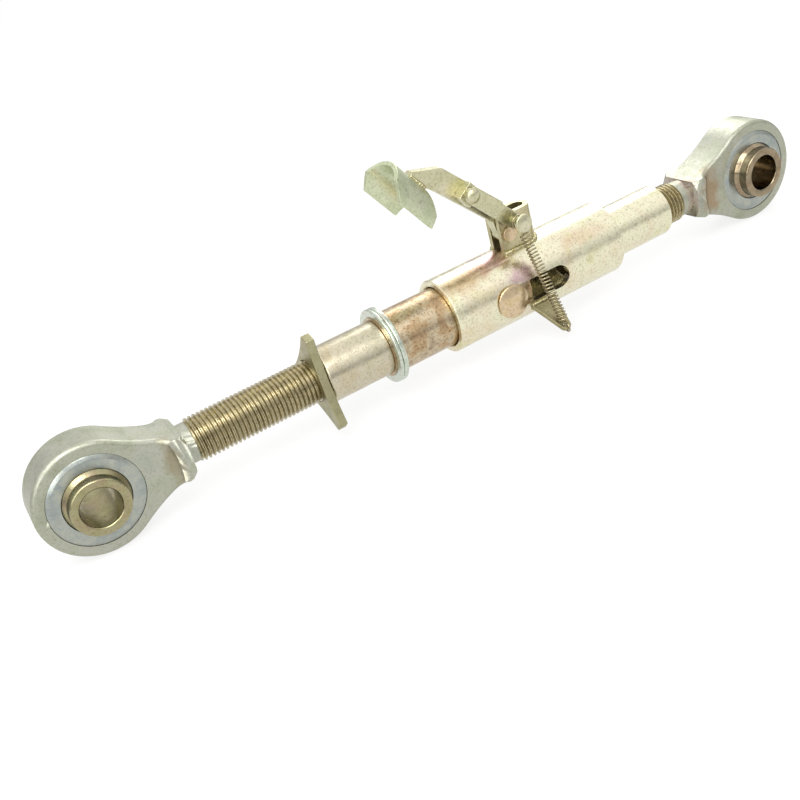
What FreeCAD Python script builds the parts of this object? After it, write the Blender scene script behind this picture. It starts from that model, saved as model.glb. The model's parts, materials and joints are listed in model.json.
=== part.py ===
"""Telescopic tractor link: two ball eyes on threaded shanks, a sliding tube with a flip-over lock saddle.

Frame: millimetres, origin at the centre of the left ball's bore, +X along the link to the right ball,
+Y along the ball bores (away from the spring side), +Z up (the side that carries the lever).
Every sub-part is written to parts/LABEL.step.
"""

import FreeCAD
import Part

import math
import os
import re

import Sketcher

# Driving dimensions. Places along the link are built up from these lengths, from left to right.
SIZES = {
    # eye forgings, the same at both ends
    "eye_radius": 38.0,
    "eye_half_thickness": 14.3,
    "eye_edge_round": 3.2,
    "neck_length": 61.0,
    "neck_half_width": 14.0,
    "neck_half_thickness": 18.0,
    "neck_blend_radius": 120.0,
    "neck_tip_radius": 19.5,
    "spotface_radius": 46.0,
    "spotface_cutter_round": 8.0,
    # threaded shanks, 30 mm outside diameter
    "shank_radius": 15.0,
    "shank_chamfer": 1.6,
    "relief_radius": 13.4,
    "left_relief_length": 6.0,
    "left_exposed_thread": 87.0,
    "left_shank_length": 154.0,
    "right_relief_length": 9.0,
    "right_exposed_thread": 16.5,
    "right_shank_length": 93.0,
    "thread_clearance": 0.05,
    # ball bushings
    "race_radius": 30.2,
    "race_half_width": 15.6,
    "race_bevel_width": 2.8,
    "race_bevel_depth": 1.6,
    "ball_radius": 26.0,
    "ball_clearance": 0.25,
    "hub_radius": 18.6,
    "hub_half_width": 25.5,
    "hub_chamfer": 0.8,
    "bore_radius": 12.85,
    "press_gap": 0.03,
    # triangular lock plate
    "plate_thickness": 6.0,
    "plate_tip_radius": 37.0,
    "plate_tip_width": 7.6,
    "plate_waist_radius": 18.5,
    "plate_turn": 108.0,
    "plate_edge_round": 1.2,
    "seat_gap": 0.3,
    # threaded bush and sliding tube
    "bush_radius": 19.6,
    "bush_length": 46.6,
    "bush_chamfer": 1.2,
    "spigot_length": 36.0,
    "inner_tube_radius": 21.4,
    "inner_tube_bore": 17.2,
    "inner_tube_length": 113.1,
    "stop_radius": 26.8,
    "stop_setback": 0.7,
    "stop_ring_width": 2.6,
    "stop_collar_width": 3.7,
    "stop_round": 1.2,
    # cross pin that runs in the housing's slots
    "pin_setback": 93.1,
    "pin_radius": 8.0,
    "pin_head_radius": 12.0,
    "pin_head_gap": 0.2,
    "pin_head_rim": 1.2,
    "pin_head_dome": 2.8,
    "slot_travel": 41.0,
    "slot_clearance": 0.25,
    # housing and end bush
    "slot_setback": 43.5,
    "slide_clearance": 0.4,
    "housing_radius": 26.7,
    "housing_length": 143.0,
    "housing_chamfer": 0.9,
    "end_seat_length": 37.5,
    "end_neck_length": 54.0,
    "end_neck_radius": 19.1,
    "end_neck_chamfer": 1.6,
    # bracket on the housing, a strip bent to a U
    "bracket_setback": 56.0,
    "bracket_length": 30.0,
    "bracket_half_width": 8.2,
    "bracket_strip": 3.7,
    "bracket_top": 52.0,
    "weld_gap": 0.05,
    # lever: its pieces are drawn in the locked pose about the pivot, then swung up
    "pivot_setback": 63.0,
    "pivot_height": 38.0,
    "pivot_radius": 4.0,
    "pivot_clearance": 0.05,
    "pivot_head_radius": 5.5,
    "pivot_head_height": 1.4,
    "lever_swing": 55.0,
    "arm_half_thickness": 4.0,
    "arm_width": 15.2,
    "arm_offset": 9.5,
    "arm_slope": 10.2,
    "arm_heel": 13.7,
    "arm_reach": 68.0,
    "arm_boss_radius": 6.5,
    "nose_reach": 87.5,
    "nose_length": 13.5,
    "nose_height": 3.2,
    "saddle_clearance": 0.6,
    "saddle_wall": 3.2,
    "saddle_end_play": 2.2,
    "saddle_leg_height": 4.0,
    "saddle_toe_length": 8.7,
    "saddle_toe_height": 10.0,
    "saddle_back_length": 8.5,
    "saddle_back_height": 13.0,
    # strap with the spring stud, outside the front ear of the bracket
    "stud_throw": 10.6,
    "stud_angle": 137.0,
    "strap_length": 39.3,
    "strap_slope": 8.4,
    "strap_half_width": 5.4,
    "strap_offset": 12.2,
    "strap_thickness": 4.0,
    "spacer_length": 11.0,
    "spacer_height": 13.0,
    "rivet_radius": 3.0,
    "rivet_head_radius": 5.2,
    "rivet_head_height": 2.4,
    "stud_radius": 3.4,
    "stud_knob_radius": 6.5,
    "stud_knob_height": 3.2,
    "stud_knob_place": 25.0,
    "spring_plane": 20.0,
    # tension spring and its tab on the housing
    "spring_radius": 3.7,
    "spring_wire_radius": 0.6,
    "spring_top_neck": 8.6,
    "spring_bottom_neck": 6.6,
    "tab_place": 69.5,
    "tab_angle": 30.0,
    "tab_base_length": 20.0,
    "tab_tip_radius": 4.2,
    "tab_reach": 50.8,
    "tab_thickness": 3.2,
    "tab_hole_radius": 1.6,
    "hook_radius": 2.8,
}

# Places along X, each from the one before it.
LEFT_THREAD_START = "(neck_length + left_relief_length)"
PLATE_FACE = f"({LEFT_THREAD_START} + left_exposed_thread)"
BUSH_START = f"({PLATE_FACE} + plate_thickness + seat_gap)"
TUBE_START = f"({BUSH_START} + bush_length)"
STOP_RING_START = f"({TUBE_START} + stop_setback)"
STOP_COLLAR_START = f"({STOP_RING_START} + stop_ring_width)"
COLLAR_FACE = f"({STOP_COLLAR_START} + stop_collar_width)"
PIN_PLACE = f"({TUBE_START} + pin_setback)"
HOUSING_START = f"({PIN_PLACE} - slot_setback)"
HOUSING_END = f"({HOUSING_START} + housing_length)"
END_BUSH_START = f"({HOUSING_END} - end_seat_length)"
END_NECK_FACE = f"({HOUSING_END} + end_neck_length)"
RIGHT_EYE_PLACE = f"({END_NECK_FACE} + right_exposed_thread + right_relief_length + neck_length)"
BRACKET_START = f"({HOUSING_START} + bracket_setback)"
PIVOT_PLACE = f"({HOUSING_START} + pivot_setback)"
TAB_PLACE = f"({HOUSING_START} + tab_place)"

# Sizes that follow from a fit.
HOUSING_BORE = "(inner_tube_radius + slide_clearance)"
THREAD_BORE = "(shank_radius + thread_clearance)"
SEAT_RADIUS = "(ball_radius + ball_clearance)"
SADDLE_INNER = "(inner_tube_radius + saddle_clearance)"
SADDLE_OUTER = f"({SADDLE_INNER} + saddle_wall)"
STRAP_FACE = "(strap_offset + strap_thickness)"

# The stud and the rivet of the strap, from the pivot, in the locked pose.
STUD_X = "(stud_throw * cos(stud_angle))"
STUD_Z = "(stud_throw * sin(stud_angle))"
RIVET_X = f"({STUD_X} - strap_length * cos(strap_slope))"
RIVET_Z = f"({STUD_Z} - strap_length * sin(strap_slope))"

WORD = re.compile(r"[a-z_]+")
Y_AXIS = FreeCAD.Vector(0, 1, 0)
X_AXIS = FreeCAD.Vector(1, 0, 0)
Z_AXIS = FreeCAD.Vector(0, 0, 1)

document = FreeCAD.newDocument("TractorLink")
sheet = document.addObject("Spreadsheet::Sheet", "Sizes")


def fill_sheet():
    """Write every driving dimension to the sheet, with its name as the alias."""
    for row, (name, size) in enumerate(SIZES.items(), start=1):
        sheet.set(f"A{row}", name)
        sheet.set(f"B{row}", str(size))
        sheet.setAlias(f"B{row}", name)
    document.recompute()


def formula(text):
    """The expression with each size name pointing at its cell."""
    return WORD.sub(lambda word: f"Sizes.{word[0]}" if word[0] in SIZES else word[0], str(text))


def number(text):
    """The value that an expression has now."""
    result = sheet.evalExpression(formula(text))
    return float(getattr(result, "Value", result))


# ---------------------------------------------------------------- building helpers


def new_body(label, place=("0", "0", "0"), axis=Z_AXIS, turn="0"):
    """A body at a place, turned about an axis through its own origin; both stay bound to the sheet."""
    body = document.addObject("PartDesign::Body", f"Body_{label}")
    body.Label = label
    body.Placement = FreeCAD.Placement(FreeCAD.Vector(), FreeCAD.Rotation(axis, number(turn)))
    for name, text in zip("xyz", place):
        body.setExpression(f"Placement.Base.{name}", formula(text))
    if turn != "0":
        body.setExpression("Placement.Rotation.Angle", formula(turn))
    return body


def new_sketch(body, role, offset="0"):
    """A sketch on one of the body's origin planes, moved along the plane's normal."""
    plane = next(item for item in body.Origin.OriginFeatures if item.Role == role)
    sketch = body.newObject("Sketcher::SketchObject", f"{body.Label}_sketch")
    sketch.AttachmentSupport = (plane, [""])
    sketch.MapMode = "FlatFace"
    if offset != "0":
        sketch.setExpression("AttachmentOffset.Base.z", formula(offset))
    return sketch


def bind(sketch, kind, first, place, text):
    """Hold one coordinate of a sketch point at an expression's value."""
    size = number(text)
    if text == "0":
        axis = -2 if kind == "DistanceX" else -1
        sketch.addConstraint(Sketcher.Constraint("PointOnObject", first, place, axis))
        return
    index = sketch.addConstraint(Sketcher.Constraint(kind, -1, 1, first, place, size))
    name = f"{kind}_{index}"
    sketch.renameConstraint(index, name)
    sketch.setExpression(f"Constraints.{name}", formula(text))


def bind_radius(sketch, index, text):
    """Hold the radius of an arc or circle at an expression's value."""
    constraint = sketch.addConstraint(Sketcher.Constraint("Radius", index, number(text)))
    name = f"Radius_{constraint}"
    sketch.renameConstraint(constraint, name)
    sketch.setExpression(f"Constraints.{name}", formula(text))


def arc_between(start, end, radius, left):
    """The arc of under half a turn from start to end, with its centre on the left or right of the way."""
    middle = (start + end) / 2
    half = (end - start) / 2
    rise = math.sqrt(max(radius**2 - half.Length**2, 0.0))
    side = FreeCAD.Vector(-half.y, half.x, 0).normalize() * (rise if left else -rise)
    centre = middle + side
    first, last = (start, end) if left else (end, start)
    angles = [math.atan2(point.y - centre.y, point.x - centre.x) for point in (first, last)]
    return Part.ArcOfCircle(Part.Circle(centre, Z_AXIS, radius), *angles)


def outline(sketch, points):
    """Close a loop through points of (x, y) or (x, y, radius text, turn) where an arc leads to the next one.

    turn is "left" or "right": the side of the way on which the arc's centre lies.
    """
    places = [FreeCAD.Vector(number(point[0]), number(point[1]), 0) for point in points]
    ends = []
    for here, (point, start) in enumerate(zip(points, places)):
        end = places[(here + 1) % len(places)]
        if len(point) == 2:
            index = sketch.addGeometry(Part.LineSegment(start, end))
            ends.append((index, 1, 2))
            continue
        left = point[3] == "left"
        index = sketch.addGeometry(arc_between(start, end, number(point[2]), left))
        ends.append((index, 1, 2) if left else (index, 2, 1))
        bind_radius(sketch, index, point[2])
    for here, (index, start, end) in enumerate(ends):
        following = ends[(here + 1) % len(ends)]
        sketch.addConstraint(Sketcher.Constraint("Coincident", index, end, following[0], following[1]))
        bind(sketch, "DistanceX", index, start, points[here][0])
        bind(sketch, "DistanceY", index, start, points[here][1])


def circle(sketch, x, y, radius):
    """Add a circle whose centre and radius stay bound to the sheet."""
    centre = FreeCAD.Vector(number(x), number(y), 0)
    index = sketch.addGeometry(Part.Circle(centre, Z_AXIS, number(radius)))
    bind(sketch, "DistanceX", index, 3, x)
    bind(sketch, "DistanceY", index, 3, y)
    bind_radius(sketch, index, radius)


def pad(body, sketch, length, symmetric=False):
    """Extrude a sketch along its normal, or half to each side of its plane."""
    feature = body.newObject("PartDesign::Pad", f"{body.Label}_pad")
    feature.Profile = sketch
    feature.setExpression("Length", formula(length))
    feature.SideType = "Symmetric" if symmetric else "One side"
    document.recompute()
    return feature


def revolve(body, sketch, axis="H_Axis"):
    """Turn a sketch once about its horizontal or vertical axis."""
    feature = body.newObject("PartDesign::Revolution", f"{body.Label}_turned")
    feature.Profile = sketch
    feature.ReferenceAxis = (sketch, [axis])
    feature.Angle = 360
    document.recompute()
    return feature


def checked_cut(body, feature, before):
    """Stop if a cut took nothing away."""
    document.recompute()
    if not body.Shape.Volume < before - 1e-3:
        raise RuntimeError(f"{feature.Label} of {body.Label} cuts nothing")
    return feature


def groove(body, sketch, axis="H_Axis"):
    """Cut a sketch turned once about its horizontal or vertical axis."""
    before = body.Shape.Volume
    feature = body.newObject("PartDesign::Groove", f"{body.Label}_groove")
    feature.Profile = sketch
    feature.ReferenceAxis = (sketch, [axis])
    feature.Angle = 360
    return checked_cut(body, feature, before)


def pocket_through(body, sketch):
    """Cut a sketch through the whole body, to both sides of its plane."""
    before = body.Shape.Volume
    feature = body.newObject("PartDesign::Pocket", f"{body.Label}_pocket")
    feature.Profile = sketch
    feature.Type = "ThroughAll"
    feature.SideType = "Symmetric"
    return checked_cut(body, feature, before)


def dress(body, kind, wanted, size_name, size):
    """Fillet or chamfer the edges of the body's tip for which wanted(edge) is true."""
    base = body.Tip
    names = [f"Edge{n}" for n, edge in enumerate(base.Shape.Edges, start=1) if wanted(edge)]
    if not names:
        raise RuntimeError(f"no edge of {body.Label} to dress")
    feature = body.newObject(f"PartDesign::{kind}", f"{body.Label}_{kind.lower()}")
    feature.Base = (base, names)
    feature.setExpression(size_name, formula(size))
    document.recompute()
    return feature


def ring_outline(sketch, start, end, inner, outer, rounding):
    """A ring's section, with both outer corners rounded."""
    outline(
        sketch,
        [
            (start, inner),
            (end, inner),
            (end, f"{outer} - {rounding}", rounding, "left"),
            (f"{end} - {rounding}", outer),
            (f"{start} + {rounding}", outer, rounding, "left"),
            (start, f"{outer} - {rounding}"),
        ],
    )


# ---------------------------------------------------------------- sub-parts


def build_eye(label, place, turn, relief_length, shank_length):
    """A forged eye with a spot-faced ring, a square neck and a shank for the thread, in one piece."""
    body = new_body(label, (place, "0", "0"), Z_AXIS, turn)
    # the hollow flank is one arc that touches the ring and ends at the corner of the neck
    reach = "(eye_radius + neck_blend_radius)"
    corner = "sqrt(neck_length^2 + neck_half_width^2)"
    along = f"(({reach}^2 - neck_blend_radius^2 + {corner}^2) / (2 * {corner}))"
    across = f"sqrt({reach}^2 - {along}^2)"
    centre_x = f"(({along} * neck_length - {across} * neck_half_width) / {corner})"
    centre_z = f"(({along} * neck_half_width + {across} * neck_length) / {corner})"
    share = f"(eye_radius / {reach})"
    touch_x = f"({centre_x} * {share})"
    touch_z = f"({centre_z} * {share})"

    face = new_sketch(body, "XZ_Plane")
    outline(
        face,
        [
            ("neck_length", "neck_half_width", "neck_blend_radius", "right"),
            (touch_x, touch_z, "eye_radius", "left"),
            ("-eye_radius", "0", "eye_radius", "left"),
            (touch_x, f"-{touch_z}", "neck_blend_radius", "right"),
            ("neck_length", "-neck_half_width"),
        ],
    )
    circle(face, "0", "0", "race_radius + press_gap")
    pad(body, face, "2 * neck_half_thickness", symmetric=True)

    # the end of the neck is turned to a cone, which takes its corners off
    turned = new_sketch(body, "XZ_Plane")
    outside = "(neck_half_width + neck_half_thickness)"
    outline(
        turned,
        [
            ("neck_length", "neck_tip_radius"),
            ("neck_length", outside),
            (f"neck_length - ({outside} - neck_tip_radius)", outside),
        ],
    )
    groove(body, turned)

    # both faces are milled down round the bore, and the cutter's round runs out in the neck
    for side in ("", "-"):
        milled = new_sketch(body, "XY_Plane")
        deep = "(eye_half_thickness + spotface_cutter_round)"
        turn_side = "right" if side else "left"
        outline(
            milled,
            [
                ("0", f"{side}eye_half_thickness"),
                ("spotface_radius", f"{side}eye_half_thickness", "spotface_cutter_round", turn_side),
                ("spotface_radius + spotface_cutter_round", f"{side}{deep}"),
                ("0", f"{side}{deep}"),
            ],
        )
        groove(body, milled, "V_Axis")

    # the rim of the ring is rounded on both faces
    face_y = number("eye_half_thickness")
    rim_radius = number("eye_radius")

    def on_rim(edge):
        box = edge.BoundBox
        flat = box.YLength < 1e-6 and abs(abs(box.YMin) - face_y) < 1e-6
        curve = edge.Curve
        return flat and isinstance(curve, Part.Circle) and abs(curve.Radius - rim_radius) < 1e-6

    dress(body, "Fillet", on_rim, "Radius", "eye_edge_round")

    shank = new_sketch(body, "XZ_Plane")
    thread_start = f"neck_length + {relief_length}"
    end = f"neck_length + {shank_length}"
    outline(
        shank,
        [
            ("neck_length - shank_radius / 2", "0"),
            (end, "0"),
            (end, "shank_radius - shank_chamfer"),
            (f"{end} - shank_chamfer", "shank_radius"),
            (f"{thread_start} + shank_chamfer", "shank_radius"),
            (thread_start, "relief_radius"),
            ("neck_length - shank_radius / 2", "relief_radius"),
        ],
    )
    revolve(body, shank)
    return body


def build_race(label, place):
    """The outer race: a ring with bevelled faces that are proud of the eye, and a spherical seat."""
    body = new_body(label, (place, "0", "0"))
    section = new_sketch(body, "XY_Plane")
    mouth = f"sqrt({SEAT_RADIUS}^2 - race_half_width^2)"
    outline(
        section,
        [
            (mouth, "-race_half_width"),
            ("race_radius - race_bevel_width", "-race_half_width"),
            ("race_radius", "race_bevel_depth - race_half_width"),
            ("race_radius", "race_half_width - race_bevel_depth"),
            ("race_radius - race_bevel_width", "race_half_width"),
            (mouth, "race_half_width", SEAT_RADIUS, "right"),
        ],
    )
    revolve(body, section, "V_Axis")
    return body


def build_ball(label, place):
    """The swivelling ball with a hub to each side and the bore for the hitch pin."""
    body = new_body(label, (place, "0", "0"))
    section = new_sketch(body, "XY_Plane")
    shoulder = "sqrt(ball_radius^2 - hub_radius^2)"
    outline(
        section,
        [
            ("bore_radius", "hub_chamfer - hub_half_width"),
            ("bore_radius + hub_chamfer", "-hub_half_width"),
            ("hub_radius - hub_chamfer", "-hub_half_width"),
            ("hub_radius", "hub_chamfer - hub_half_width"),
            ("hub_radius", f"-{shoulder}", "ball_radius", "left"),
            ("hub_radius", shoulder),
            ("hub_radius", "hub_half_width - hub_chamfer"),
            ("hub_radius - hub_chamfer", "hub_half_width"),
            ("bore_radius + hub_chamfer", "hub_half_width"),
            ("bore_radius", "hub_half_width - hub_chamfer"),
        ],
    )
    revolve(body, section, "V_Axis")
    return body


def build_lock_plate():
    """The triangular lock plate: three blunt tips joined by slightly hollow sides, threaded on the shank."""
    body = new_body("lock_plate", (PLATE_FACE, "0", "0"))
    face = new_sketch(body, "YZ_Plane")
    half_tip = "(plate_tip_width / 2)"
    half_chord = f"(plate_tip_radius * sin(60) - {half_tip} * cos(60))"
    hollow = f"(plate_tip_radius * cos(60) + {half_tip} * sin(60) - plate_waist_radius)"
    side_radius = f"(({half_chord}^2 + {hollow}^2) / (2 * {hollow}))"
    points = []
    for tip in range(3):
        angle = f"(plate_turn + {120 * tip})"
        along_y = f"plate_tip_radius * cos{angle}"
        along_z = f"plate_tip_radius * sin{angle}"
        points.append((f"{along_y} + {half_tip} * sin{angle}", f"{along_z} - {half_tip} * cos{angle}"))
        points.append(
            (
                f"{along_y} - {half_tip} * sin{angle}",
                f"{along_z} + {half_tip} * cos{angle}",
                side_radius,
                "right",
            )
        )
    outline(face, points)
    circle(face, "0", "0", THREAD_BORE)
    pad(body, face, "plate_thickness")
    reach = number("plate_tip_radius") * 0.9

    def at_tip(edge):
        centre = edge.CenterOfMass
        return edge.BoundBox.XLength > 1 and math.hypot(centre.y, centre.z) > reach

    dress(body, "Fillet", at_tip, "Radius", "plate_edge_round")
    return body


def build_threaded_bush():
    """The bush that takes the left thread, with a spigot inside the sliding tube."""
    body = new_body("threaded_bush", (BUSH_START, "0", "0"))
    section = new_sketch(body, "XZ_Plane")
    spigot = "inner_tube_bore - press_gap"
    outline(
        section,
        [
            ("0", THREAD_BORE),
            ("bush_length + spigot_length", THREAD_BORE),
            ("bush_length + spigot_length", spigot),
            ("bush_length", spigot),
            ("bush_length", "bush_radius"),
            ("bush_chamfer", "bush_radius"),
            ("0", "bush_radius - bush_chamfer"),
        ],
    )
    revolve(body, section)
    return body


def build_inner_tube():
    """The sliding tube, cross drilled for the pin."""
    body = new_body("inner_tube", (TUBE_START, "0", "0"))
    section = new_sketch(body, "XZ_Plane")
    outline(
        section,
        [
            ("0", "inner_tube_bore"),
            ("inner_tube_length", "inner_tube_bore"),
            ("inner_tube_length", "inner_tube_radius"),
            ("0", "inner_tube_radius"),
        ],
    )
    revolve(body, section)
    hole = new_sketch(body, "XZ_Plane")
    circle(hole, "pin_setback", "0", "pin_radius + press_gap")
    pocket_through(body, hole)
    return body


def build_stop(label, start, width):
    """A round-edged stop ring on the sliding tube."""
    body = new_body(label, (start, "0", "0"))
    section = new_sketch(body, "XZ_Plane")
    ring_outline(section, "0", width, "inner_tube_radius + press_gap", "stop_radius", "stop_round")
    revolve(body, section)
    return body


def build_cross_pin():
    """The pin across the sliding tube, with a domed head to each side of the housing."""
    body = new_body("cross_pin", (PIN_PLACE, "0", "0"))
    section = new_sketch(body, "XY_Plane")
    under = "(housing_radius + pin_head_gap)"
    rim = f"({under} + pin_head_rim)"
    top = f"({rim} + pin_head_dome)"
    dome = "((pin_head_radius^2 + pin_head_dome^2) / (2 * pin_head_dome))"
    outline(
        section,
        [
            ("0", f"-{top}", dome, "left"),
            ("pin_head_radius", f"-{rim}"),
            ("pin_head_radius", f"-{under}"),
            ("pin_radius", f"-{under}"),
            ("pin_radius", under),
            ("pin_head_radius", under),
            ("pin_head_radius", rim, dome, "left"),
            ("0", top),
        ],
    )
    revolve(body, section, "V_Axis")
    return body


def build_housing_tube():
    """The outer tube, slotted on both sides for the cross pin."""
    body = new_body("housing_tube", (HOUSING_START, "0", "0"))
    section = new_sketch(body, "XZ_Plane")
    outline(
        section,
        [
            ("housing_chamfer", HOUSING_BORE),
            ("housing_length", HOUSING_BORE),
            ("housing_length", "housing_radius - housing_chamfer"),
            ("housing_length - housing_chamfer", "housing_radius"),
            ("housing_chamfer", "housing_radius"),
            ("0", "housing_radius - housing_chamfer"),
            ("0", f"{HOUSING_BORE} + housing_chamfer"),
        ],
    )
    revolve(body, section)
    slot = new_sketch(body, "XZ_Plane")
    half = "(pin_radius + slot_clearance)"
    right = "(slot_setback + slot_travel)"
    outline(
        slot,
        [
            ("slot_setback", f"-{half}"),
            (right, f"-{half}", half, "left"),
            (f"{right} + {half}", "0", half, "left"),
            (right, half),
            ("slot_setback", half, half, "left"),
            (f"slot_setback - {half}", "0", half, "left"),
        ],
    )
    pocket_through(body, slot)
    return body


def build_end_bush():
    """The bush that takes the right thread, seated in the housing's end."""
    body = new_body("end_bush", (END_BUSH_START, "0", "0"))
    section = new_sketch(body, "XZ_Plane")
    seat = f"{HOUSING_BORE} - press_gap"
    end = "(end_seat_length + end_neck_length)"
    outline(
        section,
        [
            ("0", THREAD_BORE),
            (end, THREAD_BORE),
            (end, "end_neck_radius - end_neck_chamfer"),
            (f"{end} - end_neck_chamfer", "end_neck_radius"),
            ("end_seat_length", "end_neck_radius"),
            ("end_seat_length", seat),
            ("0", seat),
        ],
    )
    revolve(body, section)
    return body


def build_bracket():
    """The strip bent to a U that stands on the housing and carries the lever's pivot."""
    body = new_body("bracket", (BRACKET_START, "0", "0"))
    plan = new_sketch(body, "XY_Plane")
    outer = "bracket_half_width"
    inner = "(bracket_half_width - bracket_strip)"
    bend = "(bracket_length - bracket_half_width)"
    outline(
        plan,
        [
            ("0", f"-{outer}"),
            (bend, f"-{outer}", outer, "left"),
            ("bracket_length", "0", outer, "left"),
            (bend, outer),
            ("0", outer),
            ("0", inner),
            (bend, inner, inner, "right"),
            (f"{bend} + {inner}", "0", inner, "right"),
            (bend, f"-{inner}"),
            ("0", f"-{inner}"),
        ],
    )
    pad(body, plan, "bracket_top")

    # its foot is shaped to the housing
    foot = new_sketch(body, "XZ_Plane")
    outline(
        foot,
        [
            ("-bracket_strip", "0"),
            ("bracket_length + bracket_strip", "0"),
            ("bracket_length + bracket_strip", "housing_radius + weld_gap"),
            ("-bracket_strip", "housing_radius + weld_gap"),
        ],
    )
    groove(body, foot)

    hole = new_sketch(body, "XZ_Plane")
    circle(hole, "pivot_setback - bracket_setback", "pivot_height", "pivot_radius + press_gap")
    pocket_through(body, hole)
    return body


def build_pivot_pin():
    """The lever's pivot, headed at both ends."""
    body = new_body("pivot_pin", (PIVOT_PLACE, "0", "pivot_height"))
    section = new_sketch(body, "XY_Plane")
    face = "(bracket_half_width + press_gap)"
    end = f"({face} + pivot_head_height)"
    outline(
        section,
        [
            ("0", f"-{end}"),
            ("pivot_head_radius", f"-{end}"),
            ("pivot_head_radius", f"-{face}"),
            ("pivot_radius", f"-{face}"),
            ("pivot_radius", face),
            ("pivot_head_radius", face),
            ("pivot_head_radius", end),
            ("0", end),
        ],
    )
    revolve(body, section, "V_Axis")
    return body


def lever_body(label, x="0", z="0"):
    """A body of the lever: its origin is given from the pivot in the locked pose and swings up with it."""
    place_x = f"{PIVOT_PLACE} + {x} * cos(lever_swing) + {z} * sin(lever_swing)"
    place_z = f"pivot_height - {x} * sin(lever_swing) + {z} * cos(lever_swing)"
    return new_body(label, (place_x, "0", place_z), Y_AXIS, "lever_swing")


def build_lever_arm():
    """The flat arm: a boss on the pivot, a sloping bar and a nose that is welded to the saddle's crown."""
    body = lever_body("lever_arm")
    half = "(arm_width / 2)"
    upper = f"(arm_offset + {half})"
    lower = f"(arm_offset - {half})"

    def on_bar(along, across):
        x = f"-{along} * cos(arm_slope) - {across} * sin(arm_slope)"
        z = f"{across} * cos(arm_slope) - {along} * sin(arm_slope)"
        return x, z

    crown = f"({SADDLE_OUTER} + weld_gap - pivot_height)"
    side = new_sketch(body, "XZ_Plane")
    outline(
        side,
        [
            ("arm_boss_radius", "0"),
            on_bar("arm_heel", upper),
            on_bar("(arm_reach + 1.3)", upper),
            ("-nose_reach", f"{crown} + nose_height"),
            ("-nose_reach", crown),
            ("nose_length - nose_reach", crown),
            on_bar("(arm_reach - 1.5)", lower),
            on_bar("arm_heel", lower),
            ("-arm_boss_radius * cos(45)", "-arm_boss_radius * sin(45)"),
        ],
    )
    pad(body, side, "2 * arm_half_thickness", symmetric=True)
    boss = new_sketch(body, "XZ_Plane")
    circle(boss, "0", "0", "arm_boss_radius")
    pad(body, boss, "2 * arm_half_thickness", symmetric=True)
    holes = new_sketch(body, "XZ_Plane")
    circle(holes, "0", "0", "pivot_radius + pivot_clearance")
    circle(holes, RIVET_X, RIVET_Z, "rivet_radius + press_gap")
    pocket_through(body, holes)
    return body


def build_saddle():
    """The half pipe that drops over the sliding tube and fills the gap between stop and housing."""
    body = lever_body("saddle")
    start = f"({COLLAR_FACE} + saddle_end_play - {PIVOT_PLACE})"
    length = f"({HOUSING_START} - {COLLAR_FACE} - 2 * saddle_end_play)"
    foot = "(saddle_leg_height - pivot_height)"
    outer_y = f"sqrt({SADDLE_OUTER}^2 - saddle_leg_height^2)"
    inner_y = f"sqrt({SADDLE_INNER}^2 - saddle_leg_height^2)"
    section = new_sketch(body, "YZ_Plane", start)
    outline(
        section,
        [
            (outer_y, foot, SADDLE_OUTER, "left"),
            (f"-{outer_y}", foot),
            (f"-{inner_y}", foot, SADDLE_INNER, "right"),
            (inner_y, foot),
        ],
    )
    pad(body, section, length)

    # the legs end in a point: the toe is cut off below, the back is cut off above
    cuts = new_sketch(body, "XZ_Plane")
    end = f"({start} + {length})"
    over = f"({SADDLE_OUTER} - pivot_height + 1)"
    outline(
        cuts,
        [
            (f"{start} - 1", f"{foot} - 1"),
            (f"{start} + saddle_toe_length", f"{foot} - 1"),
            (f"{start} + saddle_toe_length", foot),
            (start, f"{foot} + saddle_toe_height"),
            (f"{start} - 1", f"{foot} + saddle_toe_height"),
        ],
    )
    outline(
        cuts,
        [
            (end, f"{over} - saddle_back_height"),
            (f"{end} + 1", f"{over} - saddle_back_height"),
            (f"{end} + 1", over),
            (f"{end} - saddle_back_length", over),
        ],
    )
    pocket_through(body, cuts)
    return body


def build_lever_strap():
    """The strap outside the front ear: round ends, a rivet hole and a hole for the spring stud."""
    body = lever_body("lever_strap", STUD_X, STUD_Z)
    side = new_sketch(body, "XZ_Plane", "strap_offset")
    half = "strap_half_width"
    far_x = "(-strap_length * cos(strap_slope))"
    far_z = "(-strap_length * sin(strap_slope))"
    off_x = f"({half} * sin(strap_slope))"
    off_z = f"({half} * cos(strap_slope))"
    outline(
        side,
        [
            (f"{far_x} + {off_x}", f"{far_z} - {off_z}"),
            (off_x, f"-{off_z}", half, "left"),
            (f"{half} * cos(strap_slope)", f"{half} * sin(strap_slope)", half, "left"),
            (f"-{off_x}", off_z),
            (f"{far_x} - {off_x}", f"{far_z} + {off_z}", half, "left"),
            (f"{far_x} - {half} * cos(strap_slope)", f"{far_z} - {half} * sin(strap_slope)", half, "left"),
        ],
    )
    circle(side, "0", "0", "stud_radius + press_gap")
    circle(side, far_x, far_z, "rivet_radius + press_gap")
    pad(body, side, "strap_thickness")
    return body


def build_strap_spacer():
    """The block that holds the strap clear of the bracket's ear."""
    body = lever_body("strap_spacer", RIVET_X, RIVET_Z)
    side = new_sketch(body, "XZ_Plane", "arm_half_thickness")
    outline(
        side,
        [
            ("-spacer_length / 2", "-spacer_height / 2"),
            ("spacer_length / 2", "-spacer_height / 2"),
            ("spacer_length / 2", "spacer_height / 2"),
            ("-spacer_length / 2", "spacer_height / 2"),
        ],
    )
    circle(side, "0", "0", "rivet_radius + press_gap")
    pad(body, side, "strap_offset - arm_half_thickness")
    return body


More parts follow.
